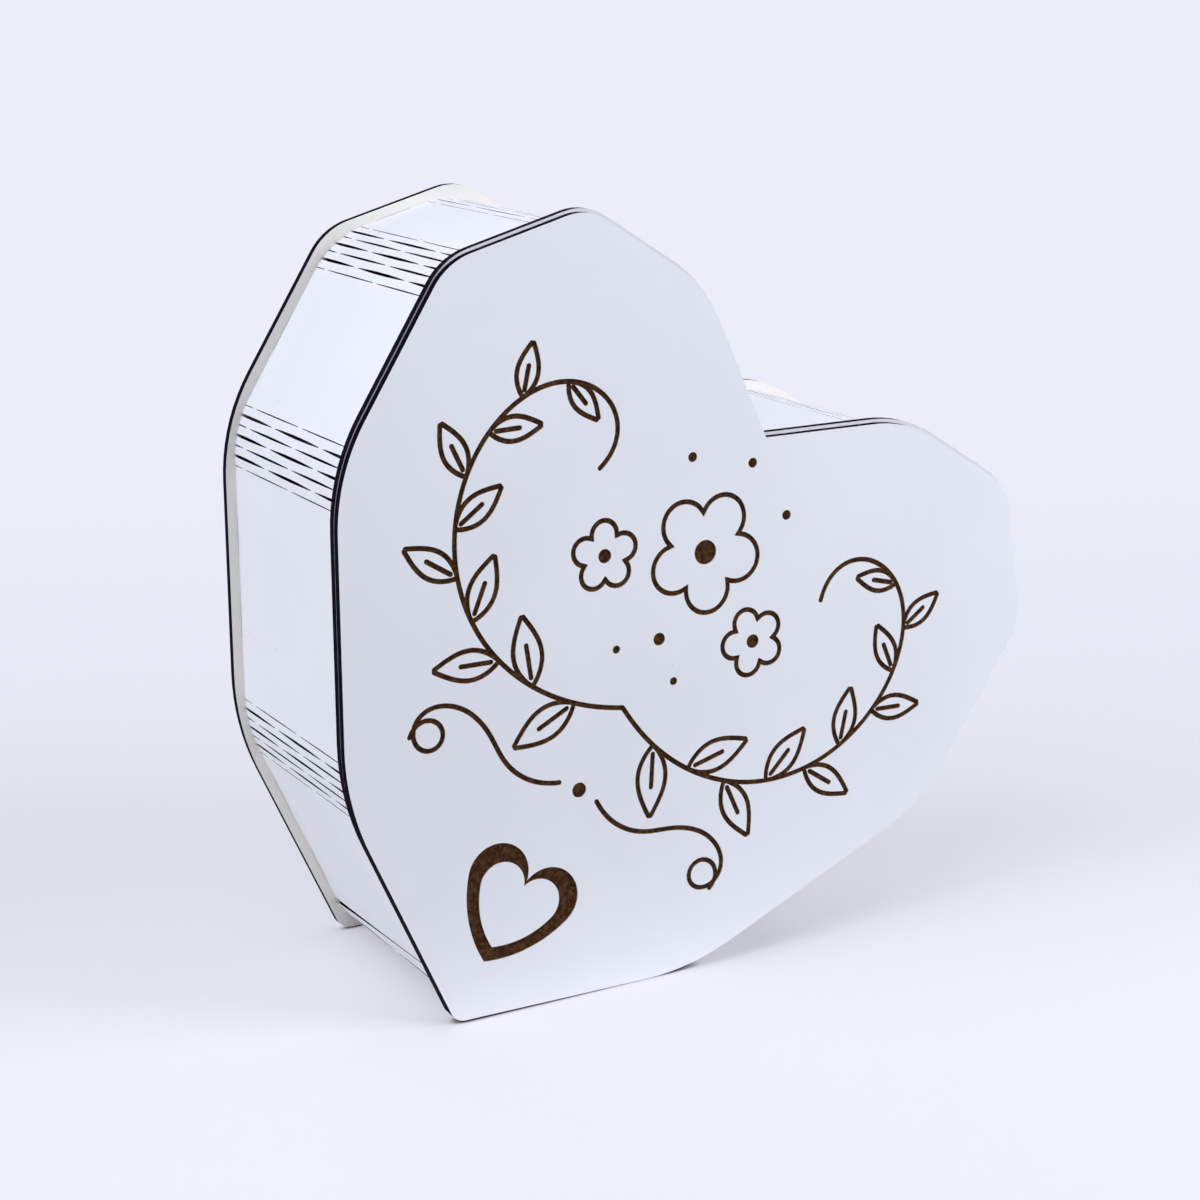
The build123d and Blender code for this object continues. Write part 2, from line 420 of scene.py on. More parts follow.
# %% Slits across the strip
WALL_WIDTH = BOX_DEPTH - 3 * BOARD
SLIT_LENGTH, SLIT_BRIDGE, SLIT_SHIFT = 37.0, 3.4, 3.5
SLIT_STEP = SLIT_LENGTH + SLIT_BRIDGE
ROW_ODD, SEAM = 1, 2                        # kinds of openings in the strip; an even row is 0
BRIDGE_LINES, SLIT_LINES = 4, 15            # grid lines across a bridge, and from there to the next bridge
EDGE_ROOM = 0.2                             # these lines keep this far from the strip's edges
HALF_STEPS = np.arange(-3, 4)               # half steps of the slit pattern, over the whole width


def lines_across():
    """Where the strip's cells are divided across its width, closest on the bridges between slits."""
    half_bridge = SLIT_BRIDGE / 2
    centres = SLIT_SHIFT + SLIT_STEP / 2 * HALF_STEPS
    bridge = np.linspace(-half_bridge, half_bridge, BRIDGE_LINES)
    between = np.linspace(half_bridge, SLIT_STEP / 2 - half_bridge, SLIT_LINES)
    across = (centres[:, None] + np.concatenate([bridge, between])).ravel()
    across = across[np.abs(across) < WALL_WIDTH / 2 - EDGE_ROOM]
    edges = np.array([WALL_WIDTH / 2, WALL_WIDTH / 2 + BOARD])
    return np.unique(np.round(np.concatenate([across, edges, -edges]), 4))


def in_slit(across, kind):
    """From 0 at the middle of the nearest slit to 1 at its ends, and over 1 on the bridges between slits.

    The seam is open all the way, so it gives 0.
    """
    middle = SLIT_SHIFT + np.where(kind == ROW_ODD, 0.0, SLIT_STEP / 2)
    from_middle = (across - middle + SLIT_STEP / 2) % SLIT_STEP - SLIT_STEP / 2
    return np.where(kind == SEAM, 0.0, np.abs(from_middle) / (SLIT_LENGTH / 2))


across_lines = lines_across()
print("grid of the wall:", len(across_lines), "lines across")

# %% Rows of slits, seam and tabs along the strip
TAB_LENGTH, TAB_PITCH, TAB_MARGIN = 12.0, 30.0, 6.0
SLIT_WIDE, SLIT_NARROW, SLIT_OUTERMOST = 1.05, 0.80, 0.45
SEAM_BEFORE_TIP, SEAM_WIDTH = 3.6, 0.55     # the seam's place before the tip's bend, and its width
INNER, CROWN, SIDE, LOW = 1, 2, 4, 5        # places of left bends; the right ones are counted from the end
ROW_SHIFT = np.zeros(BENDS)                 # how far a hinge's rows lie from the middle of its bend
ROW_SHIFT[[SIDE, LOW, TIP_BEND]] = 2.3, 1.7, -0.4
ROW_SHIFT[[-SIDE, -LOW]] = -2.3, -1.7
SLIT_SHARE = np.ones(BENDS)                 # the slits nearest the notch open less
SLIT_SHARE[[INNER, CROWN, -CROWN, -INNER]] = 0.55


def tab_middles():
    """Where the tabs' middles lie along the strip: two tabs on a long flat run, one on a short one."""
    middles = []
    for start, length in zip(line["starts"][0::2], line["lengths"][0::2]):
        two_tabs = length > TAB_PITCH + TAB_LENGTH + 2 * TAB_MARGIN
        places = (-TAB_PITCH / 2, TAB_PITCH / 2) if two_tabs else (0.0,)
        middles += [start + length / 2 + place for place in places]
    return np.array(middles)


def lines_along():
    """Grid lines along the strip as (way, side, kind, width).

    Side is -1 and 1 for the two lines of an opening, and 0 for a plain line.
    """
    found = [(0.0, 0, 0, 0.0), (strip_length, 0, 0, 0.0)]
    for middle in tab_middles():
        found += [(middle - TAB_LENGTH / 2, 0, 0, 0.0), (middle + TAB_LENGTH / 2, 0, 0, 0.0)]
    for bend in range(1, BENDS):
        rows = line["rows"][bend]
        middle = line["starts"][2 * bend - 1] + rows * ROW_PITCH / 2 + ROW_SHIFT[bend]
        for row in range(rows):
            way = middle + (row - (rows - 1) / 2) * ROW_PITCH
            outermost = row in (0, rows - 1) and rows > TIP_ROWS
            width = SLIT_OUTERMOST if outermost else (SLIT_WIDE if row % 2 else SLIT_NARROW)
            width *= SLIT_SHARE[bend]
            found += [(way - ROW_PITCH / 2, 0, 0, 0.0)]
            found += [(way, -1, row % 2, width), (way, 1, row % 2, width)]
        found += [(middle + rows * ROW_PITCH / 2, 0, 0, 0.0)]
    seam = line["starts"][2 * TIP_BEND - 1] - SEAM_BEFORE_TIP
    found += [(seam, -1, SEAM, SEAM_WIDTH), (seam, 1, SEAM, SEAM_WIDTH)]
    return np.array(sorted(found))


along_lines = lines_along()
print("grid of the wall:", len(along_lines), "lines along")

# %% A closed board from a grid
SHARP_BEND = math.radians(28)


def board_from_grid(outer, inner, kept):
    """Points and quads of a board that is given by a grid for each of its two faces.

    A kept cell becomes a quad on both faces. Every side of a kept cell with no kept neighbour becomes a quad
    across the thickness. Returns the points, the quads, and which quads cross the thickness.
    """
    number = np.arange(outer.shape[0] * outer.shape[1]).reshape(outer.shape[:2])
    count = number.size
    corner = [number[:-1, :-1], number[1:, :-1], number[1:, 1:], number[:-1, 1:]]
    face = np.stack([c[kept] for c in corner], axis=-1)
    quads, crossing = [face, face[:, ::-1] + count], []
    around = np.pad(kept, 1)
    neighbours = [around[1:-1, :-2], around[2:, 1:-1], around[1:-1, 2:], around[:-2, 1:-1]]
    for side, neighbour in enumerate(neighbours):
        open_side = kept & ~neighbour
        first, second = corner[side][open_side], corner[(side + 1) % 4][open_side]
        crossing.append(np.stack([second, first, first + count, second + count], axis=-1))
    faces = np.vstack(quads + crossing)
    points = np.concatenate([outer.reshape(-1, 3), inner.reshape(-1, 3)])
    used, faces = np.unique(faces, return_inverse=True)
    is_crossing = np.arange(len(faces.reshape(-1, 4))) >= 2 * len(face)
    return points[used], faces.reshape(-1, 4), is_crossing


def new_piece(name, points, faces, finishes, finish_of_face):
    """A mesh object with its finishes, smooth over gentle bends and sharp at its edges."""
    mesh = bpy.data.meshes.new(name)
    mesh.from_pydata(points, [], faces)
    for finish in finishes:
        mesh.materials.append(finish)
    mesh.polygons.foreach_set("material_index", np.asarray(finish_of_face, dtype=np.int32))
    mesh.polygons.foreach_set("use_smooth", np.ones(len(mesh.polygons), dtype=bool))
    mesh.set_sharp_from_angle(angle=SHARP_BEND)
    mesh.validate()
    mesh.update()
    piece = bpy.data.objects.new(name, mesh)
    bpy.context.scene.collection.objects.link(piece)
    return piece


# %% The wall strip
SLIT_END_WIDTH = 0.22
SEAM_SKEW, SEAM_END_WIDTH = 4.2, 2.6        # the seam's slant, and its width at the back
SEAM_GAPE = 3                               # a high power keeps it narrow until close to the back

way, side, kind, width = (column[:, None] for column in along_lines.T)
opening = in_slit(across_lines, kind)
half_width = (SLIT_END_WIDTH + (width - SLIT_END_WIDTH) * np.clip(1 - opening ** 2, 0, 1)) / 2
to_back = np.clip(0.5 - across_lines / WALL_WIDTH, 0, 1)
seam_half = (SEAM_WIDTH + (SEAM_END_WIDTH - SEAM_WIDTH) * to_back ** SEAM_GAPE) / 2
half_width = np.where(kind == SEAM, seam_half, half_width)
skew = np.where(kind == SEAM, SEAM_SKEW * (to_back - 0.5), 0.0)
grid_way = way + skew + side * half_width
middle_across = (across_lines[1:] + across_lines[:-1]) / 2
slit_column = (side[:-1] == -1) & (side[1:] == 1)
is_slit = slit_column & (in_slit(middle_across, kind[:-1]) < 1)
past_edge = np.abs(middle_across) > WALL_WIDTH / 2
cell_way = (way[:-1] + way[1:]) / 2


def on_tab(places):
    """True where a way along the strip lies on a tab."""
    return np.any(np.abs(places[..., None] - tab_middles()) < TAB_LENGTH / 2, axis=-1)


kept_cells = ~is_slit & (~past_edge | on_tab(cell_way))
wall_height = BOARD + WALL_WIDTH / 2 + np.broadcast_to(across_lines, grid_way.shape)
outer_face = standing(wall_points(grid_way, BOARD / 2), wall_height)
inner_face = standing(wall_points(grid_way, -BOARD / 2), wall_height)
points, faces, is_cut = board_from_grid(outer_face, inner_face, kept_cells)
wall = new_piece("wall_strip", points, faces, [white_lacquer, charred_edge], is_cut)
wall_nodes = [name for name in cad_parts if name.startswith(("wall_", "hinge_"))]
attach(wall, "box")
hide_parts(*wall_nodes)
print("wall strip:", len(faces), "quads, stands for", len(wall_nodes), "nodes")

# %% [markdown]
# The lid's face is engraved: the beam burned lines about 2 mm wide and a fraction of a millimetre deep. They
# could be painted on, but then they would lie flat in a raking light. A line is a profile carried along a
# path: two points, left and right, at half the line's width. Its width shrinks towards a round end, a path
# that closes on itself gives a ring, and a short path as wide as a chord gives a dot. The plain heart lies
# between two such closed paths. So the whole ornament comes from a few small functions, and each path is a
# short formula.

# %% Lines that the beam draws
LINE_WIDTH, END_WIDTH = 1.75, 0.06          # along a line, and at the very tip of its round end
LINE_STEP = 1.6                             # between the points of a line
CAP_POINTS, LEAST_POINTS = 6, 4             # of a round end, and of the line between two of them
NO_LENGTH = 1e-9


def spaced(path):
    """The path with points at even steps along it, and closer ones near its ends, for a round end."""
    run = np.concatenate([[0.0], np.cumsum(np.linalg.norm(np.diff(path, axis=0), axis=1))])
    cap = LINE_WIDTH / 2 * (1 - np.cos(np.linspace(0, np.pi / 2, CAP_POINTS)))
    inner = np.linspace(cap[-1], run[-1] - cap[-1], max(int(run[-1] / LINE_STEP), LEAST_POINTS))
    places = np.concatenate([cap[:-1], inner, (run[-1] - cap[:-1])[::-1]])
    points = np.stack([np.interp(places, run, path[:, axis]) for axis in (0, 1)], axis=1)
    return points, places


def band(path, width):
    """Right and left points of a line: path -+ normal * width / 2."""
    along = np.gradient(path, axis=0)
    along /= np.maximum(np.linalg.norm(along, axis=1, keepdims=True), NO_LENGTH)
    across = turned_left(along) * np.broadcast_to(width, len(path))[:, None] / 2
    return np.stack([path - across, path + across], axis=1)


def round_line(path):
    """A line of even width with round ends: near an end, half width = sqrt(r^2 - (r - way)^2)."""
    path, places = spaced(path)
    to_end = np.minimum(places, places[-1] - places)
    short = np.clip(1 - to_end / (LINE_WIDTH / 2), 0, 1)
    return band(path, np.maximum(LINE_WIDTH * np.sqrt(1 - short ** 2), END_WIDTH))


# %% Stem and flourish
CURVE_POINTS = 160
SMOOTHING = 31                              # points over which a free curve changes its heading
STEM_START, STEM_LENGTH = (-2.0, 120.0), 212.0
STEM_HEADINGS = (-28, -8, 14, 40, 66, 92, 126, 190, 300)
FLOURISH_START, FLOURISH_LENGTH = (7.0, 88.0), 108.0
FLOURISH_HEADINGS = (-35, 0, 38, 10, -40, -150, -330, -480)


def drawn(start, length, headings):
    """A free curve and its headings, from a few headings in degrees at even steps along it.

    It sums up steps of (cos, sin) as the heading changes from one given value to the next.
    """
    share = np.linspace(0, 1, CURVE_POINTS)
    heading = np.radians(np.interp(share, np.linspace(0, 1, len(headings)), headings))
    kernel = np.hanning(SMOOTHING) / np.hanning(SMOOTHING).sum()
    heading = np.convolve(np.pad(heading, SMOOTHING // 2, mode="edge"), kernel, mode="valid")
    steps = np.stack([np.cos(heading), np.sin(heading)], axis=1) * length / CURVE_POINTS
    return np.asarray(start) + np.cumsum(steps, axis=0), heading


def mirrored(path):
    """The same path on the other side of the heart's axis."""
    return path * [-1, 1]


stem, stem_heading = drawn(STEM_START, STEM_LENGTH, STEM_HEADINGS)
flourish, _ = drawn(FLOURISH_START, FLOURISH_LENGTH, FLOURISH_HEADINGS)
print("stem:", STEM_LENGTH, "mm, flourish:", FLOURISH_LENGTH, "mm on each side")

# %% Leaves
LEAF_PLACES = np.linspace(0.10, 0.80, 10)
LEAF_LONG, LEAF_SHORT, LEAF_FATNESS = 27.0, 15.0, 0.21
LEAF_TURN = 48                              # degrees that a leaf turns away from its stem
LEAF_POINTS, LEAF_BELLY = 24, 0.85          # a power below 1 moves the leaf's widest place towards its base
VEIN = slice(2, 15)                         # the vein's share of the leaf's points


def leaf_lines(base, heading, length, fatness):
    """A leaf as two bowed lines from base to tip, way * direction +- bow * normal, and a short vein."""
    share = np.linspace(0, 1, LEAF_POINTS)
    direction = np.array([math.cos(heading), math.sin(heading)])
    middle = np.asarray(base) + share[:, None] * length * direction
    bow = fatness * np.sin(np.pi * share ** LEAF_BELLY)[:, None] * turned_left(direction)
    return [middle + bow, middle - bow, middle[VEIN]]


paths = [stem]
for number, share in enumerate(LEAF_PLACES):
    at = int(share * (len(stem) - 1))
    size = LEAF_LONG + (LEAF_SHORT - LEAF_LONG) * share
    turn_out = math.radians(LEAF_TURN if number % 2 else -LEAF_TURN)
    paths += leaf_lines(stem[at], stem_heading[at] + turn_out, size, size * LEAF_FATNESS)
paths.append(flourish)
engraved = [round_line(path) for path in paths]
engraved += [round_line(mirrored(path)[::-1]) for path in paths]
print("leaves:", 2 * len(LEAF_PLACES))

# %% The plain heart
HEART_OUTSIDE = {"half_width": 22.0, "top": 62.0, "notch": 53.4, "tip": 22.9, "bulge": 44.7}
HEART_INSIDE = {"half_width": 15.8, "top": 56.5, "notch": 51.2, "tip": 28.4, "bulge": 31.6}
HEART_ASIDE = -1.4
LOBE_POINTS, SIDE_POINTS = 40, 24           # of one half of the plain heart


def on_circle(angle):
    """Points on a circle of radius 1: (cos, sin)."""
    return np.stack([np.cos(angle), np.sin(angle)], axis=-1)


def plain_heart(half_width, top, notch, tip, bulge):
    """A heart of two round lobes and two bowed sides, from its notch by the right side and back.

    For a notch k deep and a half width w, a lobe has the radius r = k + w - sqrt(2 k w), and its centre lies
    w - r from the axis. A side is an arc of the radius b that touches its lobe and ends at the tip. So its
    centre is b - r from the lobe's centre and b from the tip, and the law of cosines gives the direction.
    """
    deep = top - notch
    radius = deep + half_width - math.sqrt(2 * deep * half_width)
    lobe_centre = np.array([half_width - radius, top - radius])
    to_tip = np.array([0.0, tip]) - lobe_centre
    reach, between = np.linalg.norm(to_tip), bulge - radius
    corner = math.acos((between ** 2 + reach ** 2 - bulge ** 2) / (2 * between * reach))
    touching = math.atan2(to_tip[1], to_tip[0]) - corner + np.pi
    side_centre = lobe_centre - between * np.array([math.cos(touching), math.sin(touching)])
    lobe_start = math.atan2(notch - lobe_centre[1], -lobe_centre[0]) % (2 * np.pi)
    side_end = math.atan2(tip - side_centre[1], -side_centre[0])
    lobe = lobe_centre + radius * on_circle(np.linspace(lobe_start, touching, LOBE_POINTS))
    side = side_centre + bulge * on_circle(np.linspace(touching, side_end, SIDE_POINTS)[1:])
    half = np.concatenate([lobe, side])
    return np.concatenate([half, mirrored(half[-2::-1])])


hearts = [plain_heart(**sizes) + [HEART_ASIDE, 0.0] for sizes in (HEART_OUTSIDE, HEART_INSIDE)]
engraved.append(np.stack(hearts, axis=1))
print("plain heart:", 2 * HEART_OUTSIDE["half_width"], "mm wide")

# %% Blossoms and dots
BLOSSOM_POINTS, PETALS = 140, 5
PETAL_ROOT, PETAL_REACH, PETAL_POWER = 0.62, 0.38, 0.7
DOT_POINTS, DOT_START = 17, 0.05            # a dot's chords, and where they start on its half turn
BLOSSOM_DOT = 0.2                           # a blossom's dot, as a share of its radius

# Places and radii, and for a blossom its tilt
BLOSSOMS = [((0, 178), 21, 0.31), ((-34, 160), 12, 0.9), ((34, 160), 12, 0.0)]
DOTS = [((0, 88), 2.6), ((0, 145), 2.2), ((-22, 203), 1.7), ((22, 203), 1.7), ((0, 212), 1.7),
        ((-13, 135), 1.4), ((13, 135), 1.4)]


def ring_line(path):
    """A closed line of even width."""
    along = np.roll(path, -1, axis=0) - np.roll(path, 1, axis=0)
    along /= np.linalg.norm(along, axis=1, keepdims=True)
    across = turned_left(along) * LINE_WIDTH / 2
    ring = np.stack([path - across, path + across], axis=1)
    return np.concatenate([ring, ring[:1]])


def dot(centre, radius):
    """A full round spot: a line along its diameter, as wide as the chord there."""
    swing = np.linspace(DOT_START, np.pi - DOT_START, DOT_POINTS)
    path = np.asarray(centre) + np.stack([-radius * np.cos(swing), np.zeros(DOT_POINTS)], axis=1)
    return band(path, 2 * radius * np.sin(swing))


def blossom_line(centre, radius, tilt):
    """Five petals: the radius is root + reach * |cos(2.5 angle)| ** power."""
    angle = np.linspace(0, 2 * np.pi, BLOSSOM_POINTS, endpoint=False)
    reach = radius * (PETAL_ROOT + PETAL_REACH * np.abs(np.cos(PETALS / 2 * angle)) ** PETAL_POWER)
    return np.asarray(centre) + reach[:, None] * on_circle(angle + tilt)


for centre, radius, tilt in BLOSSOMS:
    engraved.append(ring_line(blossom_line(centre, radius, tilt)))
    engraved.append(dot(centre, radius * BLOSSOM_DOT))
engraved += [dot(centre, radius) for centre, radius in DOTS]
print("engraving:", len(engraved), "lines in all")

# %% [markdown]
# The lines become real grooves. Cutting them as solids would need a boolean for every crossing. Instead the
# lid's outline and every line go into one triangulation, which finds all crossings by itself. The triangles
# that lie inside a line move down to the bottom of the groove, and every edge between a low and a high
# triangle gets a small wall, browned by the heat.

# %% Triangles over the lid's face
LID_STEP = 0.6                              # the lid is this much smaller than the rim, all round
ON_EDGE = 1e-6
INSIDE_ONLY, MERGED = 1, 1e-5               # keep what lies inside the outline, and merge points this close


def band_edges(number):
    """The edges round a band, by the numbers of its points: both sides, and across both ends."""
    sides = [np.stack([number[:-1, k], number[1:, k]], axis=1) for k in (0, 1)]
    return np.vstack(sides + [number[[0, -1]]])


def inside_band(places, strip):
    """True for places inside a triangle of a band, or on its edge: on one side of all three edges."""
    right, left = strip[:, 0], strip[:, 1]
    thirds = np.concatenate([np.stack([right[:-1], right[1:], left[1:]], axis=1),
                             np.stack([right[:-1], left[1:], left[:-1]], axis=1)])
    edges = np.roll(thirds, -1, axis=1) - thirds
    beside = np.sum(turned_left(edges) * (places[:, None, None] - thirds), axis=-1)
    return np.any(np.all(beside > -ON_EDGE, axis=-1) | np.all(beside < ON_EDGE, axis=-1), axis=1)


def triangulated(outline, bands):
    """Triangles over the outline, with the edges of every band kept; True for those inside a band."""
    start = np.cumsum([len(outline)] + [2 * len(strip) for strip in bands])
    given = np.concatenate([outline] + [strip.reshape(-1, 2) for strip in bands])
    numbers = [first + np.arange(2 * len(strip)).reshape(-1, 2) for first, strip in zip(start, bands)]
    fixed = np.vstack([band_edges(number) for number in numbers]).tolist() if bands else []
    around = [list(range(len(outline)))]
    found = delaunay_2d_cdt([Vector(point) for point in given], fixed, around, INSIDE_ONLY, MERGED)
    points, faces = np.array([tuple(point) for point in found[0]]), np.array(found[2])
    middles = points[faces].mean(axis=1)
    burnt = np.zeros(len(faces), dtype=bool)
    for strip in bands:
        corners = strip.reshape(-1, 2)
        near = np.all((middles > corners.min(axis=0)) & (middles < corners.max(axis=0)), axis=1)
        burnt[near] |= inside_band(middles[near], strip)
    return points, faces, burnt


lid_outline = heart_outline(LID_STEP)
flat_points, triangles, burnt = triangulated(lid_outline, engraved)
back_points, back_triangles, _ = triangulated(lid_outline, [])
print("lid's face:", len(triangles), "triangles,", int(burnt.sum()), "of them burnt")

# %% The engraved lid
LID_ASIDE, LID_DROP = 0.5, 0.5              # how far the lid hangs to the left and down
GROOVE_DEPTH = 0.5
LACQUERED, CHARRED, BURNED, BROWNED = range(4)


def open_edges(triangles):
    """The edges, in their triangles' direction, that only one of these triangles has."""
    edges = np.vstack([triangles[:, [0, 1]], triangles[:, [1, 2]], triangles[:, [2, 0]]])
    key = np.sort(edges, axis=1)
    _, first, count = np.unique(key, axis=0, return_index=True, return_counts=True)
    return edges[first[count == 1]]


count = len(flat_points)
top = standing(flat_points, BOX_DEPTH, LID_ASIDE, LID_DROP)
floor_level = standing(flat_points, BOX_DEPTH - GROOVE_DEPTH, LID_ASIDE, LID_DROP)
below = standing(back_points, BOX_DEPTH - BOARD, LID_ASIDE, LID_DROP)
rim_edges = open_edges(triangles)
nearest = np.argmin(np.linalg.norm(flat_points[:, None] - back_points[None], axis=2), axis=1) + 2 * count
groove_edges = open_edges(triangles[burnt])
rim_quads = np.hstack([rim_edges[:, ::-1], nearest[rim_edges]])
groove_quads = np.stack([groove_edges, groove_edges[:, ::-1] + count], axis=1).reshape(-1, 4)
lid_faces = (triangles[~burnt].tolist() + (triangles[burnt] + count).tolist()
             + (back_triangles[:, ::-1] + 2 * count).tolist() + rim_quads.tolist() + groove_quads.tolist())
finish_counts = [np.sum(~burnt), np.sum(burnt), len(back_triangles), len(rim_quads), len(groove_quads)]
finish_numbers = np.repeat([LACQUERED, BURNED, LACQUERED, CHARRED, BROWNED], finish_counts)
lid_points = np.concatenate([top, floor_level, below])
lid = new_piece("lid_engraved", lid_points, lid_faces, lid_finishes, finish_numbers)
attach(lid, "lid")
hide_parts("lid_panel")
print("lid:", len(lid_faces), "faces, with grooves", GROOVE_DEPTH, "mm deep")

# %% [markdown]
# The photograph was taken on pale paper that runs back and rises behind the box as a sweep. A curved backdrop
# would show its bend in other views, so one wide flat floor stands in for it. Its paper turns into an even
# glow with distance, as a sweep does. The glow is seen by the camera and in gloss, but it lights nothing. A
# little darker band of painted shade lies behind the box, where the paper starts to rise and gets less light.
# The real box leans a little on the right end of its flat side, so the floor is tilted there instead, and the
# box stays in its frame.

# %% Floor
FLOOR_REACH, FLOOR_SIDES = 14.0, 64
FLOOR_TILT = math.radians(0.70)
low_turn = bends_of(heart_corners(0.0))[2][1]
flat_side = math.hypot(TIP_SIDE_OUT, TIP_SIDE_UP) - HALF_RADII[0] * math.tan(low_turn / 2)
FLAT_END = (flat_side - MIDDLE) / PER_METRE  # the right end of the side that the box stands on

around = np.arange(FLOOR_SIDES)
swing = around * 2 * np.pi / FLOOR_SIDES
rim = FLOOR_REACH * np.stack([np.cos(swing), np.sin(swing), math.tan(FLOOR_TILT) * np.cos(swing)], axis=1)
floor_points = np.vstack([[[0, 0, 0]], rim]) + [FLAT_END, 0, 0]
floor_faces = np.stack([0 * around, 1 + around, 1 + (around + 1) % FLOOR_SIDES], axis=1)
floor_mesh = bpy.data.meshes.new("floor")
floor_mesh.from_pydata(floor_points, [], floor_faces.tolist())
floor = bpy.data.objects.new("floor", floor_mesh)
bpy.context.scene.collection.objects.link(floor)
print("floor: tilted about a line at x =", round(FLAT_END * PER_METRE, 1), "mm")

# %% [markdown]
# The paper's colour and glow are blends over distance, on Object coordinates. A painted picture could hold
# them, but it would be coarse on so wide a floor. A small helper measures how much room there is above the
# paper: within a few millimetres it gives a painted dark contact shadow where the box touches, and within
# some centimetres the deeper shadow under the overhanging right side. For the light that falls on the box,
# the paper in front is dimmer than it looks, as where a table ends close to the box, so that the lid isn't
# lit too much from below.

# %% Paper
FLOOR = (0.828, 0.817, 0.830, 1.0)
# painted shade: a darker band of paper behind the box, where the sweep rises and gets less light
FLOOR_SHADED_BAND = (0.812, 0.801, 0.816, 1.0)
FLOOR_BOUNCE = (0.300, 0.297, 0.301, 1.0)   # the paper in front, for the light on the box
PAPER_ROUGH, PAPER_GLOSS = 0.9, 0.1
VIEW_TURN = math.radians(-28.2993)          # the band runs straight across the photograph
SHADED_BAND_RANGE = (-0.06, 0.10)                  # metres behind the middle, away from the camera
FRONT_RANGE = (-0.115, -0.05)               # metres along Y


def seen_directly(tree):
    """1 for light that comes straight to the camera, or by gloss or glass, and 0 for light on surfaces."""
    path = tree.nodes.new("ShaderNodeLightPath")
    seen = worked(tree, "MAXIMUM", path.outputs["Is Camera Ray"], path.outputs["Is Glossy Ray"])
    return worked(tree, "MAXIMUM", seen, path.outputs["Is Transmission Ray"])


def vector_work(tree, operation, vector):
    """A vector node on the given vector."""
    node = tree.nodes.new("ShaderNodeVectorMath")
    node.operation = operation
    tree.links.new(vector, node.inputs[0])
    return node


paper, paper_tree, paper_shader = new_finish("pale_paper")
paper_place = object_place(paper_tree, (1, 1, 1))
depth = vector_work(paper_tree, "DOT_PRODUCT", paper_place)
depth.inputs[1].default_value = (-math.sin(VIEW_TURN), math.cos(VIEW_TURN), 0.0)
behind = depth.outputs["Value"]
paper_split = paper_tree.nodes.new("ShaderNodeSeparateXYZ")
paper_tree.links.new(paper_place, paper_split.inputs["Vector"])
# where the band of painted shade lies, behind the box
in_shaded_band = ranged(paper_tree, behind, *SHADED_BAND_RANGE)
in_front = ranged(paper_tree, paper_split.outputs["Y"], *FRONT_RANGE, 1.0, 0.0)
unseen = worked(paper_tree, "SUBTRACT", 1.0, seen_directly(paper_tree))
unseen_front = worked(paper_tree, "MULTIPLY", in_front, unseen)
paper_colour = blended(paper_tree, in_shaded_band, FLOOR, FLOOR_SHADED_BAND)
paper_colour = blended(paper_tree, unseen_front, paper_colour, FLOOR_BOUNCE)
paper_shader.inputs["Roughness"].default_value = PAPER_ROUGH
paper_shader.inputs["Specular IOR Level"].default_value = PAPER_GLOSS
print("paper: dimmest to the box from", round(-FRONT_RANGE[0] * PER_METRE), "mm in front of its middle")

# %% Shadow close to the box
# painted contact shadow: the paper turns near black where the box touches it
FLOOR_CONTACT_SHADOW = (0.008, 0.007, 0.010, 1.0)    # where the box touches the paper
CONTACT_REACH, CONTACT_RANGE = 0.004, (0.15, 0.60)
OVERHANG_REACH, OVERHANG_RANGE, OVERHANG_LOSS = 0.05, (0.30, 0.85), 0.70
RIGHT_RANGE = (0.0, 0.03)                   # metres along X
ROOM_SAMPLES = 6


def room_above(tree, reach):
    """1 where nothing is near the surface, less where something stands over it within this reach."""
    room = tree.nodes.new("ShaderNodeAmbientOcclusion")
    room.samples = ROOM_SAMPLES
    room.inputs["Distance"].default_value = reach
    return room.outputs["AO"]


# painted contact shadow: near-black paper and less glow within a few millimetres of the box
lit = ranged(paper_tree, room_above(paper_tree, CONTACT_REACH), *CONTACT_RANGE)
plug(paper_tree, blended(paper_tree, lit, FLOOR_CONTACT_SHADOW, paper_colour), paper_shader.inputs["Base Color"])
room = room_above(paper_tree, OVERHANG_REACH)
closed_above = ranged(paper_tree, room, *OVERHANG_RANGE, OVERHANG_LOSS, 0.0)
on_right = ranged(paper_tree, paper_split.outputs["X"], *RIGHT_RANGE)
glow_lost = worked(paper_tree, "MULTIPLY", on_right, closed_above)
print("paper: dark within", round(CONTACT_REACH * PER_METRE), "mm of the box")

# %% Glow of the sweep
SWEEP_NEAR = (0.856, 0.871, 0.973, 1.0)
# painted shade in the glow, in the same darker band behind the box
SWEEP_SHADED_BAND = (0.800, 0.815, 0.920, 1.0)
SWEEP_HIGH = (0.836, 0.852, 0.955, 1.0)
NEAR_FLOOR = 0.35                           # the paper counts as near within this way from the middle
HIGH_RANGE = (0.30, 0.90)
SHARE_RANGE, SHARE_NEAR, SHARE_FAR = (0.08, 0.36), 0.4, 1.0

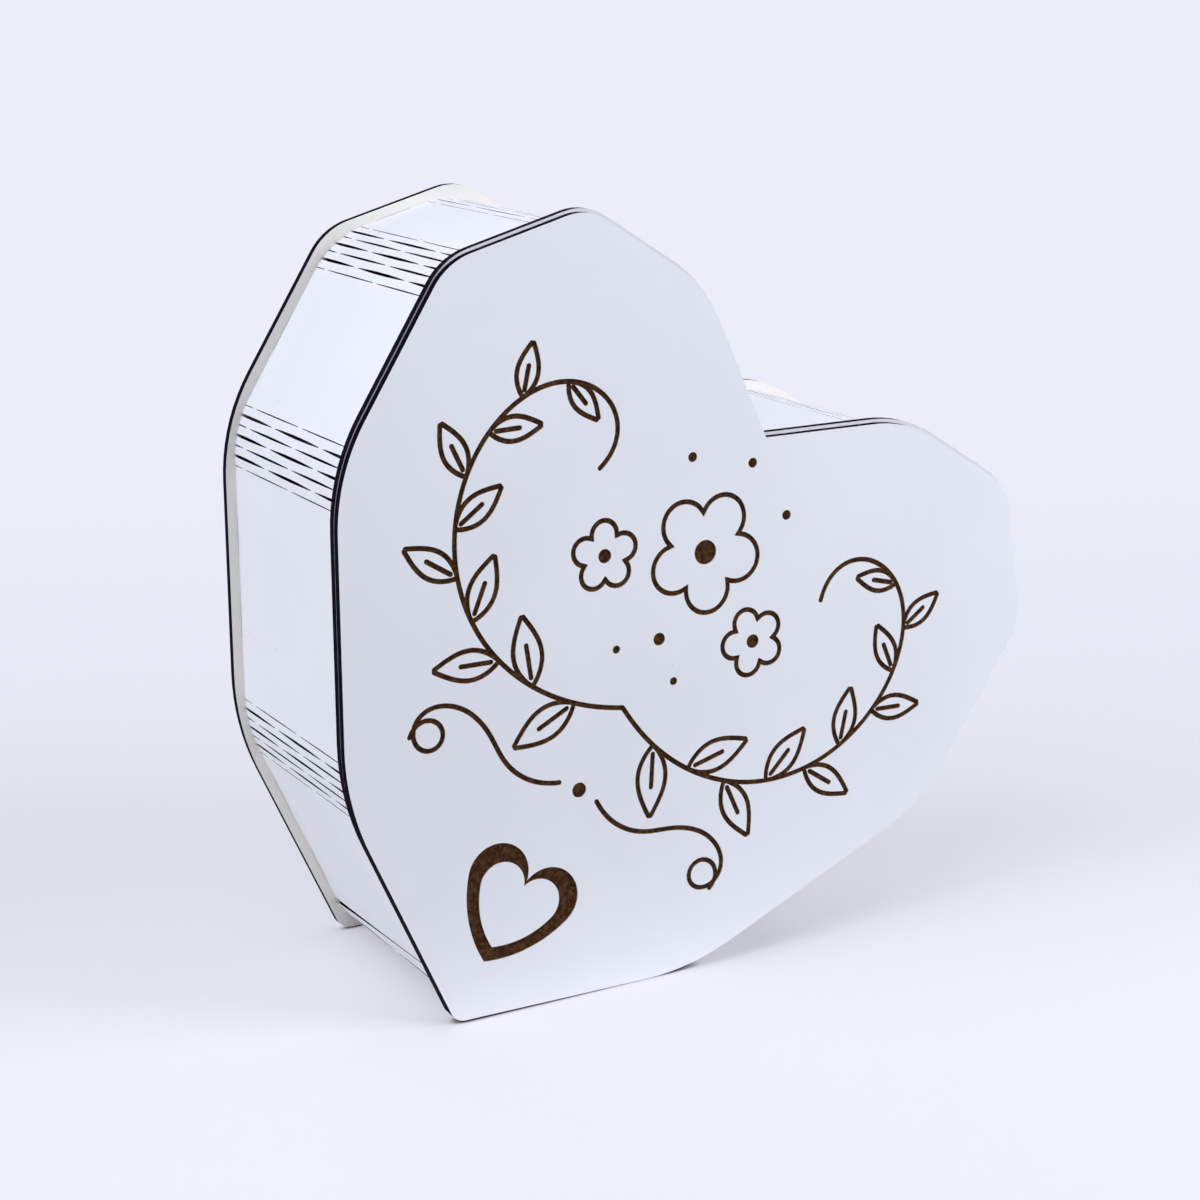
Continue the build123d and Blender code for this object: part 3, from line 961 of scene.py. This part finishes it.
from_middle = vector_work(paper_tree, "LENGTH", paper_place).outputs["Value"]
past_near = worked(paper_tree, "SUBTRACT", from_middle, NEAR_FLOOR)
far = worked(paper_tree, "MAXIMUM", behind, past_near)
sweep_colour = blended(paper_tree, in_shaded_band, SWEEP_NEAR, SWEEP_SHADED_BAND)
sweep_colour = blended(paper_tree, ranged(paper_tree, far, *HIGH_RANGE), sweep_colour, SWEEP_HIGH)
glow_share = ranged(paper_tree, far, *SHARE_RANGE, SHARE_NEAR, SHARE_FAR)
for kept in (lit, worked(paper_tree, "SUBTRACT", 1.0, glow_lost), seen_directly(paper_tree)):
    glow_share = worked(paper_tree, "MULTIPLY", glow_share, kept)
sweep = paper_tree.nodes.new("ShaderNodeEmission")
plug(paper_tree, sweep_colour, sweep.inputs["Color"])
joined = paper_tree.nodes.new("ShaderNodeMixShader")
paper_tree.links.new(glow_share, joined.inputs["Fac"])
paper_tree.links.new(paper_shader.outputs["BSDF"], joined.inputs[1])
paper_tree.links.new(sweep.outputs["Emission"], joined.inputs[2])
paper_tree.links.new(joined.outputs["Shader"], paper_tree.nodes["Material Output"].inputs["Surface"])
floor_mesh.materials.append(paper)
print("sweep: full glow from", SHARE_RANGE[1], "m behind the middle of the box")

# %% [markdown]
# The photograph was lit softly from many sides. A picture of a studio on the sky could give such light, but
# single lamps can be weighed one by one, so five broad ones and a faint sky stand round the box. All of them
# are a little blue, because the photograph is, while the board's white stays nearly neutral and looks right
# under other light too. The key lamp stands at the front on the right, and the weaker ones fill the front
# left, the top, the left side and the back.

# %% Sky
LIGHT = (0.883, 0.911, 1.0)
SKY_STRENGTH = 0.21
BACKGROUND = (0.83, 0.85, 0.96)
world = bpy.data.worlds.new("studio")
bpy.context.scene.world = world
world.use_nodes = True
sky_tree = world.node_tree
sky_tree.nodes.clear()
lighting, backdrop = (sky_tree.nodes.new("ShaderNodeBackground") for _ in range(2))
lighting.inputs["Color"].default_value = (*LIGHT, 1.0)
lighting.inputs["Strength"].default_value = SKY_STRENGTH
backdrop.inputs["Color"].default_value = (*BACKGROUND, 1.0)
mixed = sky_tree.nodes.new("ShaderNodeMixShader")
output = sky_tree.nodes.new("ShaderNodeOutputWorld")
sky_tree.links.new(seen_directly(sky_tree), mixed.inputs["Fac"])
sky_tree.links.new(lighting.outputs["Background"], mixed.inputs[1])
sky_tree.links.new(backdrop.outputs["Background"], mixed.inputs[2])
sky_tree.links.new(mixed.outputs["Shader"], output.inputs["Surface"])
print("sky at", SKY_STRENGTH)

# %% Lamps
BOX_MIDDLE = Vector((0.0, 0.0, 0.13))

# Name, place, size in metres and power in watts
LAMPS = [
    ("lamp_key", (0.9, -0.9, 0.7), 0.8, 16.4),
    ("lamp_front", (-0.8, -0.5, 1.3), 1.0, 7.1),
    ("lamp_above", (-0.2, 0.2, 1.6), 1.6, 6.1),
    ("lamp_left", (-1.3, 0.1, 0.7), 1.0, 7.6),
    ("lamp_behind", (0.15, 1.6, 0.22), 0.8, 11.0),
]


def soft_lamp(name, place, size, power):
    """A square area lamp that faces the middle of the box."""
    lamp = bpy.data.lights.new(name, "AREA")
    lamp.shape = "SQUARE"
    lamp.size = size
    lamp.energy = power
    lamp.color = LIGHT
    holder = bpy.data.objects.new(name, lamp)
    turned = (BOX_MIDDLE - Vector(place)).to_track_quat("-Z", "Y").to_matrix().to_4x4()
    holder.matrix_world = Matrix.Translation(place) @ turned
    bpy.context.scene.collection.objects.link(holder)


for lamp_values in LAMPS:
    soft_lamp(*lamp_values)
print("lamps:", [name for name, *_ in LAMPS])

# %% [markdown]
# The camera stands where the photographer stood. It could be moved by hand until the picture fits. Here its
# place, turn and lens were worked out from the straight edges of the box in the photograph, so that the
# model's edges fall on the photograph's.

# %% Camera
VIEW_RISE = math.radians(14.6841)
VIEW_ROLL = math.radians(0.8170)
VIEW_DISTANCE = 0.917496
LOOK_AT = Vector((-0.012951, 0.000100, 0.122559))
FOCAL_PIXELS, IMAGE_PIXELS, SENSOR = 2611.215, 1200, 36.0
NEAREST, FARTHEST = 0.01, 60.0

back = Vector((math.sin(VIEW_TURN) * math.cos(VIEW_RISE), -math.cos(VIEW_TURN) * math.cos(VIEW_RISE),
               math.sin(VIEW_RISE)))
right = Vector((math.cos(VIEW_TURN), math.sin(VIEW_TURN), 0.0))
down = (-back).cross(right)
rolled_right = math.cos(VIEW_ROLL) * right + math.sin(VIEW_ROLL) * down
rolled_up = math.sin(VIEW_ROLL) * right - math.cos(VIEW_ROLL) * down
lens = bpy.data.cameras.new("camera")
lens.sensor_fit = "HORIZONTAL"
lens.sensor_width = SENSOR
lens.lens = FOCAL_PIXELS / IMAGE_PIXELS * SENSOR
lens.clip_start, lens.clip_end = NEAREST, FARTHEST
camera = bpy.data.objects.new("camera", lens)
turned = Matrix((rolled_right, rolled_up, back)).transposed().to_4x4()
camera.matrix_world = Matrix.Translation(LOOK_AT + VIEW_DISTANCE * back) @ turned
bpy.context.scene.collection.objects.link(camera)
bpy.context.scene.camera = camera
bpy.context.scene.view_settings.view_transform = "Standard"
print("camera with a lens of", round(lens.lens, 2), "mm")
